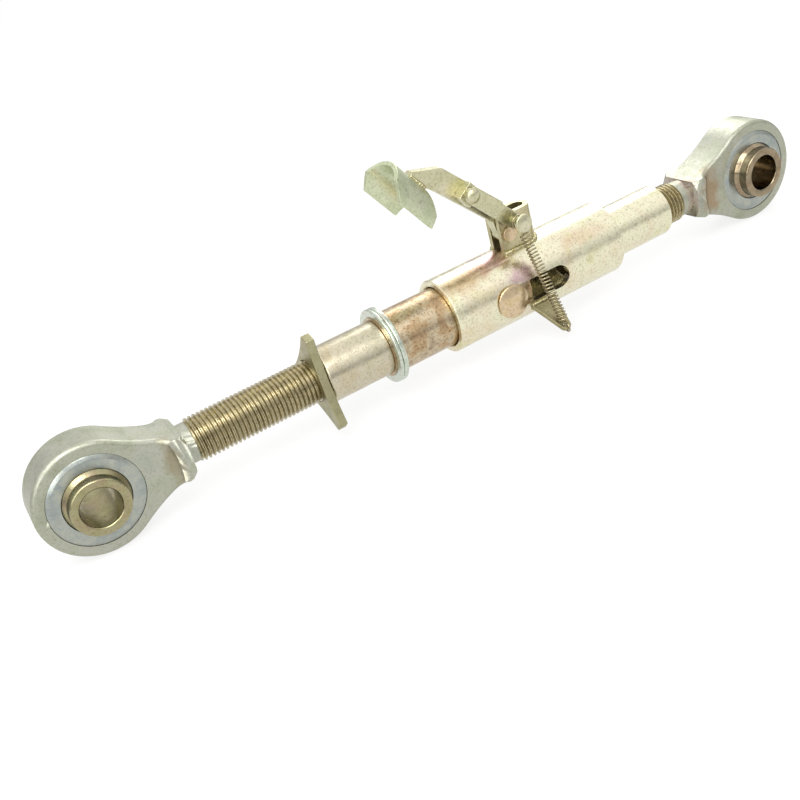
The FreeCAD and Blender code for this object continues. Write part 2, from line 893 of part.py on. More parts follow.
def build_strap_rivet():
    """The rivet through arm, spacer and strap."""
    body = lever_body("strap_rivet", RIVET_X, RIVET_Z)
    section = new_sketch(body, "XY_Plane")
    dome = "((rivet_head_radius^2 + rivet_head_height^2) / (2 * rivet_head_height))"
    outline(
        section,
        [
            ("0", f"-{STRAP_FACE} - rivet_head_height", dome, "left"),
            ("rivet_head_radius", f"-{STRAP_FACE}"),
            ("rivet_radius", f"-{STRAP_FACE}"),
            ("rivet_radius", "arm_half_thickness"),
            ("rivet_head_radius", "arm_half_thickness", dome, "left"),
            ("0", "arm_half_thickness + rivet_head_height"),
        ],
    )
    revolve(body, section, "V_Axis")
    return body


def build_spring_stud():
    """The stud on the strap, with a knob that keeps the spring's loop on."""
    body = lever_body("spring_stud", STUD_X, STUD_Z)
    section = new_sketch(body, "XY_Plane")
    knob_end = "(stud_knob_place + stud_knob_height)"
    dome = "((stud_knob_radius^2 + (stud_knob_height / 2)^2) / stud_knob_height)"
    outline(
        section,
        [
            ("0", f"-{knob_end}", dome, "left"),
            ("stud_knob_radius", f"stud_knob_height / 2 - {knob_end}"),
            ("stud_knob_radius", "-stud_knob_place"),
            ("stud_radius", "-stud_knob_place"),
            ("stud_radius", "-strap_offset"),
            ("0", "-strap_offset"),
        ],
    )
    revolve(body, section, "V_Axis")
    return body


def build_spring_tab():
    """The fin on the housing that the spring's lower hook goes through."""
    body = new_body("spring_tab", (TAB_PLACE, "0", "0"), X_AXIS, "90 + tab_angle")
    side = new_sketch(body, "XZ_Plane")
    base = "(housing_radius + weld_gap)"
    half_base = "(tab_base_length / 2)"
    rise = f"(tab_reach - {base})"
    slant = f"sqrt({half_base}^2 + {rise}^2)"
    lean = f"(atan({half_base} / {rise}) + asin(tab_tip_radius / {slant}))"
    tangent_x = f"(tab_tip_radius * cos({lean}))"
    tangent_z = f"(tab_reach + tab_tip_radius * sin({lean}))"
    outline(
        side,
        [
            (f"-{half_base}", base),
            (half_base, base),
            (tangent_x, tangent_z, "tab_tip_radius", "left"),
            (f"-{tangent_x}", tangent_z),
        ],
    )
    circle(side, "0", "tab_reach", "tab_hole_radius")
    pad(body, side, "tab_thickness", symmetric=True)
    return body


def wire_to_ring(centre, axis, ring_radius, end, radius):
    """A straight wire from the nearest point of a ring to a point outside it."""
    way = end - centre
    start = centre + (way - axis * way.dot(axis)).normalize() * ring_radius
    return Part.makeCylinder(radius, (end - start).Length, start, end - start)


def build_spring():
    """The tension spring: the coil's outer tube, with a loop round the stud and a hook through the tab."""
    swing = math.radians(number("lever_swing"))
    stud_x, stud_z = number(STUD_X), number(STUD_Z)
    top = FreeCAD.Vector(
        number(PIVOT_PLACE) + stud_x * math.cos(swing) + stud_z * math.sin(swing),
        -number("spring_plane"),
        number("pivot_height") - stud_x * math.sin(swing) + stud_z * math.cos(swing),
    )
    below = math.radians(number("tab_angle"))
    reach = number("tab_reach + hook_radius")
    bottom = FreeCAD.Vector(number(TAB_PLACE), -reach * math.cos(below), -reach * math.sin(below))
    wire = number("spring_wire_radius")
    radius = number("spring_radius")
    loop = number("stud_radius") + 2 * wire
    hook = number("hook_radius")
    way = (bottom - top).normalize()
    coil_start = top + way * number("spring_top_neck")
    coil_end = bottom - way * number("spring_bottom_neck")
    length = (coil_end - coil_start).Length
    wall = 2 * wire
    coil = Part.makeCylinder(radius, length, coil_start, way)
    core = Part.makeCylinder(radius - wall, length - 2 * wall, coil_start + way * wall, way)
    ends = [
        Part.makeTorus(loop, wire, top, Y_AXIS),
        Part.makeTorus(hook, wire, bottom, X_AXIS),
        wire_to_ring(top, Y_AXIS, loop, coil_start + way * wire, 0.9 * wire),
        wire_to_ring(bottom, X_AXIS, hook, coil_end - way * wire, 0.9 * wire),
    ]
    feature = document.addObject("Part::Feature", "spring")
    feature.Label = "spring"
    feature.Shape = coil.cut(core).multiFuse(ends)
    feature.Placement = FreeCAD.Placement()
    return feature


def build_all():
    """Every sub-part, from the left eye to the right one."""
    return [
        build_eye("left_eye", "0", "0", "left_relief_length", "left_shank_length"),
        build_race("left_race", "0"),
        build_ball("left_ball", "0"),
        build_lock_plate(),
        build_threaded_bush(),
        build_inner_tube(),
        build_stop("stop_ring", STOP_RING_START, "stop_ring_width"),
        build_stop("stop_collar", STOP_COLLAR_START, "stop_collar_width"),
        build_cross_pin(),
        build_housing_tube(),
        build_end_bush(),
        build_bracket(),
        build_pivot_pin(),
        build_lever_arm(),
        build_saddle(),
        build_lever_strap(),
        build_strap_spacer(),
        build_strap_rivet(),
        build_spring_stud(),
        build_spring(),
        build_spring_tab(),
        build_eye("right_eye", RIGHT_EYE_PLACE, "180", "right_relief_length", "right_shank_length"),
        build_race("right_race", RIGHT_EYE_PLACE),
        build_ball("right_ball", RIGHT_EYE_PLACE),
    ]


def check(parts):
    """Stop if anything in the document failed, or a sub-part isn't one valid solid."""
    document.recompute()
    failed = [item.Name for item in document.Objects if {"Invalid", "Error"} & set(item.State)]
    if failed:
        raise RuntimeError(f"failed: {failed}")
    for part in parts:
        shape = part.Shape
        if shape.isNull() or not shape.isValid() or len(shape.Solids) != 1:
            raise RuntimeError(f"{part.Label} isn't one valid solid")


fill_sheet()
sub_parts = build_all()
check(sub_parts)
os.makedirs("parts", exist_ok=True)
for sub_part in sub_parts:
    sub_part.Shape.exportStep(f"parts/{sub_part.Label}.step")
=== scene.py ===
"""Looks of a telescopic tractor link: yellow-passivated zinc over forged, drawn and turned steel."""

import json
import logging
import math
from collections.abc import Callable, Iterable, Sequence
from dataclasses import dataclass, replace
from enum import Enum

import bmesh
import bpy
from mathutils import Matrix, Vector

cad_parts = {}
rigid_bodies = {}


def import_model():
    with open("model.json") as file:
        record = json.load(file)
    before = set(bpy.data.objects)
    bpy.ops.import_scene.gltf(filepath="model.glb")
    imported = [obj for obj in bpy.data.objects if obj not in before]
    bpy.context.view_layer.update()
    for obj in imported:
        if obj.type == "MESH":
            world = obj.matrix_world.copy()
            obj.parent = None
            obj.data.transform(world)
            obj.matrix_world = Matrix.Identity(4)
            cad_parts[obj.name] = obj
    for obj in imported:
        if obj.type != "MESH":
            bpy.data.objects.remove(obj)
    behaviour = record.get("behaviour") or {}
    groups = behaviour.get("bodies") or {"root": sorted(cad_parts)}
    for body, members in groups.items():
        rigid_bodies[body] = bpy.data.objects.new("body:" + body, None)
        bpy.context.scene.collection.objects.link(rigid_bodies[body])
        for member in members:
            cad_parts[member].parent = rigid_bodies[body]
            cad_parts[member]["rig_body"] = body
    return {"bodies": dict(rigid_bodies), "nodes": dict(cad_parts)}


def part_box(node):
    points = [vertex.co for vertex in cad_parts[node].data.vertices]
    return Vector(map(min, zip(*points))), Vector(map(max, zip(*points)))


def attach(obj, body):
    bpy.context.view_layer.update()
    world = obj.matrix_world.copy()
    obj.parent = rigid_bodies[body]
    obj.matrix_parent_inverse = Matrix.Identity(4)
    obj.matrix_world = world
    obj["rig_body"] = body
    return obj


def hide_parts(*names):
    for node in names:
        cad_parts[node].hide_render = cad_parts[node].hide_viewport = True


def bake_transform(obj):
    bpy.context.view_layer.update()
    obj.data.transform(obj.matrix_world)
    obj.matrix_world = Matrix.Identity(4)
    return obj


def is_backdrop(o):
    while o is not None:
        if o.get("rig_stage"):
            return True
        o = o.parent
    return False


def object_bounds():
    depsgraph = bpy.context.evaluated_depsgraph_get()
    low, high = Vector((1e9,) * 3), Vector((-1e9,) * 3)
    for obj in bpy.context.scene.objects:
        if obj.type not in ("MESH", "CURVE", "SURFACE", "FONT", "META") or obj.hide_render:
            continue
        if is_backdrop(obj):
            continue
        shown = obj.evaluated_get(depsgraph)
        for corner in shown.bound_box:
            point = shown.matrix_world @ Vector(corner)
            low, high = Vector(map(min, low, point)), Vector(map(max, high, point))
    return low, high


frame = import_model()

MM = 0.001
LOG = logging.getLogger("tractor_link")
Point = tuple[float, float, float]


class Marks(Enum):
    """The direction of the fine marks that the making left on a surface."""

    NONE = "none"
    RINGS_ROUND_X = "rings round the link's axis"
    RINGS_ROUND_Y = "rings round the pin's axis"
    ALONG_X = "lines along the link"


# --- node and mesh helpers -------------------------------------------------------------------------


def linear(colour: str) -> tuple[float, float, float, float]:
    """Turn an sRGB hex colour into the linear one that the nodes take.

    Args:
        colour: Six hex digits after a "#".

    Returns:
        Linear red, green, blue and an alpha of 1.
    """
    parts = [int(colour[i : i + 2], 16) / 255 for i in (1, 3, 5)]
    red, green, blue = (c / 12.92 if c <= 0.04045 else ((c + 0.055) / 1.055) ** 2.4 for c in parts)
    return red, green, blue, 1.0


def add(
    tree: bpy.types.NodeTree, kind: str, *inputs: object, named: dict | None = None, **settings: object
) -> bpy.types.Node:
    """Add one node to a tree.

    Args:
        tree: The shader or geometry tree.
        kind: The node's type name.
        inputs: Values, sockets or nodes for its first inputs, in order; None leaves one as it is.
        named: The same for inputs found by name or number.
        settings: The node's own properties.

    Returns:
        The new node.
    """
    node = tree.nodes.new(kind)
    for key, value in settings.items():
        setattr(node, key, value)
    for key, value in [*enumerate(inputs), *(named or {}).items()]:
        if isinstance(value, bpy.types.Node):
            value = value.outputs[0]
        if isinstance(value, bpy.types.NodeSocket):
            tree.links.new(value, node.inputs[key])
        elif value is not None:
            node.inputs[key].default_value = value
    return node


def geometry_tree(
    name: str, inputs: dict[str, tuple[str, object]]
) -> tuple[bpy.types.NodeTree, bpy.types.Node]:
    """Start a geometry tree with named inputs.

    Args:
        name: The tree's name.
        inputs: Input name to its kind (Float, Int, Geometry or Material) and first value.

    Returns:
        The tree and its group input node.
    """
    tree = bpy.data.node_groups.new(name, "GeometryNodeTree")
    for label, (kind, value) in inputs.items():
        socket = tree.interface.new_socket(label, in_out="INPUT", socket_type=f"NodeSocket{kind}")
        if value is not None:
            socket.default_value = value
    tree.interface.new_socket("Geometry", in_out="OUTPUT", socket_type="NodeSocketGeometry")
    return tree, add(tree, "NodeGroupInput")


def close_tree(tree: bpy.types.NodeTree, shape: object, material: object) -> bpy.types.NodeTree:
    """End a geometry tree with real meshes in one material.

    Args:
        tree: The tree to end.
        shape: The socket or node with its geometry.
        material: The socket that names its material.

    Returns:
        The same tree.
    """
    real = add(tree, "GeometryNodeRealizeInstances", shape)
    smooth = add(tree, "GeometryNodeSetShadeSmooth", real)
    painted = add(tree, "GeometryNodeSetMaterial", smooth, named={"Material": material})
    add(tree, "NodeGroupOutput", painted)
    return tree


def grow(
    name: str, tree: bpy.types.NodeTree, values: dict[str, object], base: bpy.types.Mesh
) -> bpy.types.Mesh:
    """Run a geometry tree once and keep its result as a plain mesh.

    Args:
        name: The name for the mesh.
        tree: The geometry tree.
        values: Its inputs by name.
        base: The mesh that the tree starts from, which may be empty.

    Returns:
        The plain mesh.
    """
    holder = bpy.data.objects.new(f"{name}_base", base)
    bpy.context.scene.collection.objects.link(holder)
    modifier = holder.modifiers.new("grow", "NODES")
    modifier.node_group = tree
    for item in tree.interface.items_tree:
        if item.in_out == "INPUT" and item.name in values:
            modifier[item.identifier] = values[item.name]
    evaluated = holder.evaluated_get(bpy.context.evaluated_depsgraph_get())
    mesh = bpy.data.meshes.new_from_object(evaluated)
    mesh.name = name
    holder.modifiers.remove(modifier)
    bpy.data.objects.remove(holder)
    return mesh


def empty_mesh(points: Sequence[Point] = ()) -> bpy.types.Mesh:
    """A mesh of points joined in one line, or of nothing at all."""
    mesh = bpy.data.meshes.new("line")
    mesh.from_pydata([Vector(p) * MM for p in points], [(i, i + 1) for i in range(len(points) - 1)], [])
    return mesh


def cad_copy(node: str) -> bmesh.types.BMesh:
    """A copy of a CAD node's mesh with its loose triangles joined and its flats made whole."""
    mesh = bmesh.new()
    mesh.from_mesh(frame["nodes"][node].data)
    bmesh.ops.remove_doubles(mesh, verts=mesh.verts, dist=1e-6)
    bmesh.ops.dissolve_limit(mesh, angle_limit=math.radians(0.3), verts=mesh.verts, edges=mesh.edges)
    return mesh


def soften(mesh: bmesh.types.BMesh, width: float, segments: int = 2, angle: float = 28.0) -> None:
    """Round every hard edge of a mesh.

    Args:
        mesh: The mesh to change.
        width: The width of the rounding in mm.
        segments: How many faces each rounding takes.
        angle: The smallest turn in degrees that counts as an edge.
    """
    hard = [e for e in mesh.edges if e.is_manifold and e.calc_face_angle(0.0) > math.radians(angle)]
    bmesh.ops.bevel(
        mesh,
        geom=hard,
        offset=width * MM,
        offset_type="OFFSET",
        segments=segments,
        profile=0.5,
        affect="EDGES",
        clamp_overlap=True,
        harden_normals=False,
    )


def trim(mesh: bmesh.types.BMesh, place: float, side: int) -> None:
    """Cut a closed mesh across the link's axis and close the cut.

    Args:
        mesh: The mesh to change.
        place: Where along X the cut is, in mm.
        side: 1 takes away what lies beyond the cut, -1 what lies before it.
    """
    geometry = [*mesh.verts, *mesh.edges, *mesh.faces]
    cut = bmesh.ops.bisect_plane(
        mesh, geom=geometry, plane_co=(place * MM, 0, 0), plane_no=(side, 0, 0), clear_outer=True
    )
    rim = [item for item in cut["geom_cut"] if isinstance(item, bmesh.types.BMEdge)]
    bmesh.ops.contextual_create(mesh, geom=rim)


def to_mesh(name: str, source: bmesh.types.BMesh) -> bpy.types.Mesh:
    """Write a bmesh to a new mesh and free it."""
    mesh = bpy.data.meshes.new(name)
    source.to_mesh(mesh)
    source.free()
    return mesh


def swept_wire(name: str, points: Sequence[Point], radius: float) -> bpy.types.Mesh:
    """A round wire along a smooth curve through control points.

    Args:
        name: The name for the mesh.
        points: The curve's control points in mm.
        radius: The wire's radius in mm.

    Returns:
        The wire as a plain mesh with closed ends.
    """
    curve = bpy.data.curves.new(name, "CURVE")
    curve.dimensions = "3D"
    curve.bevel_depth = radius * MM
    curve.bevel_resolution = 3
    curve.use_fill_caps = True
    spline = curve.splines.new("NURBS")
    spline.points.add(len(points) - 1)
    for target, point in zip(spline.points, points):
        target.co = (*(Vector(point) * MM), 1.0)
    spline.order_u = 3
    spline.use_endpoint_u = True
    spline.resolution_u = 6
    holder = bpy.data.objects.new(name, curve)
    bpy.context.scene.collection.objects.link(holder)
    evaluated = holder.evaluated_get(bpy.context.evaluated_depsgraph_get())
    mesh = bpy.data.meshes.new_from_object(evaluated)
    bpy.data.objects.remove(holder)
    return mesh


def joined(name: str, meshes: Iterable[bpy.types.Mesh]) -> bpy.types.Mesh:
    """Several meshes as one, without their materials."""
    whole = bmesh.new()
    for mesh in meshes:
        whole.from_mesh(mesh)
    for face in whole.faces:
        face.material_index = 0
    return to_mesh(name, whole)


# --- finishes --------------------------------------------------------------------------------------


@dataclass(frozen=True)
class StainAndShade:
    """A soft-edged patch in another colour: a real discolouration where the passivation took another hue,
    and on the balls painted shade laid round the bore.

    Attributes:
        centre: Its middle in mm.
        reach: Its half lengths along X, Y and Z in mm.
        colour: Its sRGB colour.
        strength: How much of it shows, up to 1.
    """

    centre: Point
    reach: Point
    colour: str
    strength: float = 0.7


@dataclass(frozen=True)
class Plating:
    """Zinc plating with a chromate passivation, which gives steel its pale gold and rainbow hues.

    Attributes:
        name: The finish in a maker's words.
        tints: sRGB colours that drift into each other over the surface.
        drift: The size of that drift in mm.
        roughness: The typical roughness of this surface.
        uneven: How far the roughness wanders.
        grain: The size in mm of the surface's own grain.
        depth: The height in mm of that grain.
        marks: The direction of the marks from making.
        mark_step: Their spacing in mm, drawn coarser than the real 0.1 mm so that it shows.
        mark_depth: Their height in mm.
        stains_and_shade: Patches in other colours: real discolouration, and painted shade round the balls'
            bores.
        dirt: The sRGB colour of fine specks and thin film.
        dirt_share: How much of the surface they take.
    """

    name: str
    tints: tuple[str, ...]
    drift: float = 18.0
    roughness: float = 0.3
    uneven: float = 0.08
    grain: float = 0.9
    depth: float = 0.015
    marks: Marks = Marks.NONE
    mark_step: float = 0.6
    mark_depth: float = 0.01
    stains_and_shade: tuple[StainAndShade, ...] = ()
    dirt: str = "#6E6448"
    dirt_share: float = 0.18

    def material(self) -> bpy.types.Material:
        """Build the material.

        Returns:
            The material, whose patterns all sit on Object coordinates.
        """
        material = bpy.data.materials.new(self.name)
        material.use_nodes = True
        tree = material.node_tree
        tree.nodes.clear()
        place = add(tree, "ShaderNodeTexCoord").outputs["Object"]
        colour = self._drift(tree, place)
        for stain_and_shade in self.stains_and_shade:
            colour = self._stained_and_shaded(tree, place, colour, stain_and_shade)
        colour = self._dirty(tree, place, colour)
        shader = add(tree, "ShaderNodeBsdfPrincipled", named={"Base Color": colour, "Metallic": 1.0})
        rough = add(tree, "ShaderNodeTexNoise", place, named={"Scale": 1 / (6 * MM), "Detail": 3.0})
        low, high = self.roughness - self.uneven, self.roughness + self.uneven
        spread = add(tree, "ShaderNodeMapRange", rough, 0.3, 0.7, low, high)
        tree.links.new(spread.outputs[0], shader.inputs["Roughness"])
        tree.links.new(self._relief(tree, place), shader.inputs["Normal"])
        add(tree, "ShaderNodeOutputMaterial", shader)
        return material

    def _drift(self, tree: bpy.types.NodeTree, place: bpy.types.NodeSocket) -> bpy.types.NodeSocket:
        """The slow change from tint to tint."""
        cloud = add(
            tree,
            "ShaderNodeTexNoise",
            place,
            named={"Scale": 1 / (self.drift * MM), "Detail": 4.0, "Roughness": 0.55, "Distortion": 0.6},
        )
        ramp = add(tree, "ShaderNodeValToRGB", cloud.outputs[0])
        stops = ramp.color_ramp.elements
        while len(stops) < len(self.tints):
            stops.new(0.5)
        for number, tint in enumerate(self.tints):
            stops[number].position = 0.3 + 0.4 * number / max(1, len(self.tints) - 1)
            stops[number].color = linear(tint)
        return ramp.outputs[0]

    def _stained_and_shaded(
        self,
        tree: bpy.types.NodeTree,
        place: bpy.types.NodeSocket,
        colour: bpy.types.NodeSocket,
        stain_and_shade: StainAndShade,
    ) -> bpy.types.NodeSocket:
        """The colour with one patch laid over it, which is a real discolouration on most parts and painted
        shade round the balls' bores.
        """
        centre = tuple(c * MM for c in stain_and_shade.centre)
        stretch = tuple(1 / (r * MM) for r in stain_and_shade.reach)
        away = add(tree, "ShaderNodeVectorMath", place, centre, operation="SUBTRACT")
        scaled = add(tree, "ShaderNodeVectorMath", away, stretch, operation="MULTIPLY")
        length = add(tree, "ShaderNodeVectorMath", scaled, operation="LENGTH").outputs["Value"]
        ragged = add(tree, "ShaderNodeTexNoise", place, named={"Scale": 1 / (7 * MM), "Detail": 4.0})
        wander = add(tree, "ShaderNodeMath", ragged.outputs[0], 1.3, -0.65, operation="MULTIPLY_ADD")
        edge = add(tree, "ShaderNodeMath", length, wander, operation="ADD")
        share = add(tree, "ShaderNodeMapRange", edge, 0.35, 1.05, stain_and_shade.strength, 0.0)
        mix = add(tree, "ShaderNodeMix", share, data_type="RGBA")
        tree.links.new(colour, mix.inputs[6])
        mix.inputs[7].default_value = linear(stain_and_shade.colour)
        return mix.outputs[2]

    def _dirty(
        self, tree: bpy.types.NodeTree, place: bpy.types.NodeSocket, colour: bpy.types.NodeSocket
    ) -> bpy.types.NodeSocket:
        """The colour with fine specks and thin film over it."""
        specks = add(tree, "ShaderNodeTexNoise", place, named={"Scale": 1 / (1.6 * MM), "Detail": 5.0})
        share = add(tree, "ShaderNodeMapRange", specks.outputs[0], 0.5, 0.8, 0.0, 3 * self.dirt_share)
        mix = add(tree, "ShaderNodeMix", share, data_type="RGBA")
        tree.links.new(colour, mix.inputs[6])
        mix.inputs[7].default_value = linear(self.dirt)
        return mix.outputs[2]

    def _relief(self, tree: bpy.types.NodeTree, place: bpy.types.NodeSocket) -> bpy.types.NodeSocket:
        """The normal with the grain and the making marks in it."""
        noise = "ShaderNodeTexNoise"
        fine = 1 / (self.grain * MM)
        grain = add(tree, noise, place, named={"Scale": fine, "Detail": 2.0})
        bump = add(
            tree, "ShaderNodeBump", named={"Strength": 1.0, "Distance": self.depth * MM, "Height": grain}
        )
        if self.marks is Marks.NONE:
            return bump.outputs[0]
        split = add(tree, "ShaderNodeSeparateXYZ", place)
        across = {
            Marks.RINGS_ROUND_X: (split.outputs[1], split.outputs[2], split.outputs[0]),
            Marks.RINGS_ROUND_Y: (split.outputs[0], split.outputs[2], split.outputs[1]),
            Marks.ALONG_X: (split.outputs[1], split.outputs[2], None),
        }[self.marks]
        flat = add(tree, "ShaderNodeCombineXYZ", across[0], across[1])
        often = 1 / (self.mark_step * MM)
        if across[2] is None:
            stretched = add(tree, noise, flat, named={"Scale": often, "Detail": 1.0})
        else:
            radius = add(tree, "ShaderNodeVectorMath", flat, operation="LENGTH").outputs["Value"]
            path = add(tree, "ShaderNodeMath", radius, across[2], operation="ADD")
            stretched = add(
                tree, noise, named={"W": path, "Scale": often, "Detail": 1.0}, noise_dimensions="1D"
            )
        lines = add(
            tree,
            "ShaderNodeBump",
            named={"Strength": 1.0, "Distance": self.mark_depth * MM, "Height": stretched, "Normal": bump},
        )
        return lines.outputs[0]


# --- pieces ----------------------------------------------------------------------------------------


def place_piece(
    name: str,
    mesh: bpy.types.Mesh,
    body: str | None,
    materials: Sequence[bpy.types.Material],
    stands_for: Sequence[str] = (),
    sharp: float = 40.0,
) -> bpy.types.Object:
    """Put a finished mesh into the scene and let it ride on its body.

    Args:
        name: The piece's name.
        mesh: Its mesh, already in place.
        body: The CAD body that it moves with, or None for a piece that spans two bodies and is attached to
            neither.
        materials: Its materials, in the order of the faces' material numbers.
        stands_for: The CAD nodes that it stands for.
        sharp: The turn in degrees from which an edge is shown hard.

    Returns:
        The piece.
    """
    mesh.name = name
    mesh.materials.clear()
    for material in materials:
        mesh.materials.append(material)
    mesh.shade_smooth()
    mesh.set_sharp_from_angle(angle=math.radians(sharp))
    piece = bpy.data.objects.new(name, mesh)
    bpy.context.scene.collection.objects.link(piece)
    if body:
        weighted = piece.modifiers.new("even shading", "WEIGHTED_NORMAL")
        weighted.keep_sharp = True
        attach(piece, body)
    if stands_for:
        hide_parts(*stands_for)
    LOG.info("%s: %d faces, rides on %s", name, len(mesh.polygons), body or "two bodies")
    return piece


def dressed(
    node: str, body: str, finish: Plating, edge: float, change: Callable | None = None
) -> bpy.types.Object:
    """Dress one CAD node: the same shape with its edges rounded and its finish on.

    Args:
        node: The CAD node.
        body: The CAD body that it moves with.
        finish: Its finish.
        edge: The width of the edge rounding in mm.
        change: A function that changes the copied mesh before its edges are rounded.

    Returns:
        The piece, which stands for the node.
    """
    mesh = cad_copy(node)
    if change:
        change(mesh)
    soften(mesh, edge)
    return place_piece(f"{node}_dressed", to_mesh(node, mesh), body, [finish.material()], [node])


def thread_tree() -> bpy.types.NodeTree:
    """Build the tree that rolls a screw thread.

    Each column of a grid is one straight line along the shank, and it starts a little later than
    the one before it, so that a whole turn moves the pattern by one pitch.

    Returns:
        The geometry tree.
    """
    tree, given = geometry_tree(
        "rolled_thread",
        {
            "Geometry": ("Geometry", None),
            "Start": ("Float", 0.0),
            "Length": ("Float", 0.1),
            "Pitch": ("Float", 0.003),
            "Radius": ("Float", 0.015),
            "Depth": ("Float", 0.0018),
            "Chamfer": ("Float", 0.0016),
            "Samples": ("Int", 10),
            "Segments": ("Int", 96),
            "Material": ("Material", None),
        },
    )
    start, length, pitch, radius, depth, chamfer = (given.outputs[i] for i in range(1, 7))
    samples, segments, material = (given.outputs[i] for i in range(7, 10))

    def sum_of(operation: str, *terms: object) -> bpy.types.Node:
        """One Math node of the tree."""
        return add(tree, "ShaderNodeMath", *terms, operation=operation)

    end = sum_of("ADD", start, length)
    turns = sum_of("DIVIDE", length, pitch)
    rows_exact = sum_of("MULTIPLY", sum_of("ADD", turns, 1.0), samples)
    rows = sum_of("ADD", sum_of("CEIL", rows_exact), 3.0)
    columns = sum_of("ADD", segments, 1.0)
    grid = add(tree, "GeometryNodeMeshGrid", 1.0, 1.0, rows, columns)
    index = add(tree, "GeometryNodeInputIndex")
    row = sum_of("FLOOR", sum_of("DIVIDE", index, columns))
    column = sum_of("MODULO", index, columns)
    turn = sum_of("DIVIDE", column, segments)
    step = sum_of("DIVIDE", pitch, samples)
    run = sum_of("MULTIPLY", sum_of("ADD", row, -1.0), step)
    lead = sum_of("MULTIPLY", sum_of("ADD", turn, -1.0), pitch)
    raw = sum_of("ADD", sum_of("ADD", run, lead), start)
    place = add(tree, "ShaderNodeClamp", raw, start, end)
    # height of the profile: flat crest, straight flanks, flat root
    from_start = sum_of("SUBTRACT", place, start)
    phase = sum_of("SUBTRACT", sum_of("DIVIDE", from_start, pitch), turn)
    fold = sum_of("ABSOLUTE", sum_of("MULTIPLY_ADD", sum_of("FRACT", phase), 2.0, -1.0))
    height = add(tree, "ShaderNodeMapRange", fold, 0.2, 0.8, 0.0, 1.0)
    profile = sum_of("SUBTRACT", radius, sum_of("MULTIPLY", height, depth))
    # the ends are chamfered, and closed by a first and a last row on the axis
    nearest = sum_of("MINIMUM", from_start, sum_of("SUBTRACT", end, place))
    cone = sum_of("ADD", sum_of("SUBTRACT", radius, chamfer), nearest)
    turned = sum_of("MINIMUM", profile, cone)
    last = sum_of("ADD", rows, -1.0)
    past_first = sum_of("GREATER_THAN", row, 0.5)
    before_last = sum_of("LESS_THAN", row, sum_of("ADD", last, -0.5))
    open_rows = sum_of("MULTIPLY", past_first, before_last)
    reach = sum_of("MULTIPLY", turned, open_rows)
    at_end = sum_of("MULTIPLY", sum_of("SUBTRACT", 1.0, before_last), length)
    closed_place = sum_of("ADD", start, at_end)
    along = add(tree, "ShaderNodeMix", open_rows, named={2: closed_place, 3: place}, data_type="FLOAT")
    angle = sum_of("MULTIPLY", turn, math.tau)
    up = sum_of("MULTIPLY", reach, sum_of("SINE", angle))
    out = sum_of("MULTIPLY", reach, sum_of("COSINE", angle))
    spot = add(tree, "ShaderNodeCombineXYZ", along, out, up)
    shaped = add(tree, "GeometryNodeSetPosition", grid, named={"Position": spot})
    merged = add(tree, "GeometryNodeMergeByDistance", shaped, named={"Distance": 1e-6})
    return close_tree(tree, merged, material)


def coil_tree() -> bpy.types.NodeTree:
    """Build the tree that winds a spring's coil up the Z axis.

    Returns:
        The geometry tree.
    """
    tree, given = geometry_tree(
        "wound_coil",
        {
            "Geometry": ("Geometry", None),
            "Turns": ("Float", 20.0),
            "Length": ("Float", 0.06),
            "Coil Radius": ("Float", 0.003),
            "Wire Radius": ("Float", 0.0006),
            "Points per Turn": ("Int", 24),
            "Material": ("Material", None),
        },
    )
    _, turns, length, coil, wire, points, material = (given.outputs[i] for i in range(7))
    spiral = add(tree, "GeometryNodeCurveSpiral", points, turns, coil, coil, length, False)
    circle = add(tree, "GeometryNodeCurvePrimitiveCircle", named={"Resolution": 10})
    tree.links.new(wire, circle.inputs["Radius"])
    tube = add(tree, "GeometryNodeCurveToMesh", spiral, circle, named={"Fill Caps": True})
    return close_tree(tree, tube, material)


def bead_tree() -> bpy.types.NodeTree:
    """Build the tree that lays a weld bead along a line: flat drops, each over the one before.

    Returns:
        The geometry tree.
    """
    tree, given = geometry_tree(
        "weld_bead",
        {
            "Line": ("Geometry", None),
            "Step": ("Float", 0.0012),
            "Radius": ("Float", 0.002),
            "Unevenness": ("Float", 0.2),
            "Seed": ("Int", 3),
            "Material": ("Material", None),
        },
    )
    line, step, radius, uneven, seed, material = (given.outputs[i] for i in range(6))
    curve = add(tree, "GeometryNodeMeshToCurve", line)
    even = add(tree, "GeometryNodeResampleCurve", curve, mode="LENGTH", named={"Length": step})
    drop = add(tree, "GeometryNodeMeshIcoSphere", radius, 2)
    tangent = add(tree, "GeometryNodeInputTangent")
    turned = add(tree, "FunctionNodeAlignRotationToVector", named={"Vector": tangent}, axis="Z")
    small = add(tree, "ShaderNodeMath", 1.0, uneven, operation="SUBTRACT")
    large = add(tree, "ShaderNodeMath", 1.0, uneven, operation="ADD")
    size = add(tree, "FunctionNodeRandomValue", named={2: small, 3: large, "Seed": seed}, data_type="FLOAT")
    flat = add(tree, "ShaderNodeVectorMath", (1.0, 1.0, 0.55), operation="SCALE")
    tree.links.new(size.outputs[1], flat.inputs["Scale"])
    drops = add(
        tree,
        "GeometryNodeInstanceOnPoints",
        even,
        named={"Instance": drop, "Rotation": turned, "Scale": flat},
    )
    return close_tree(tree, drops, material)


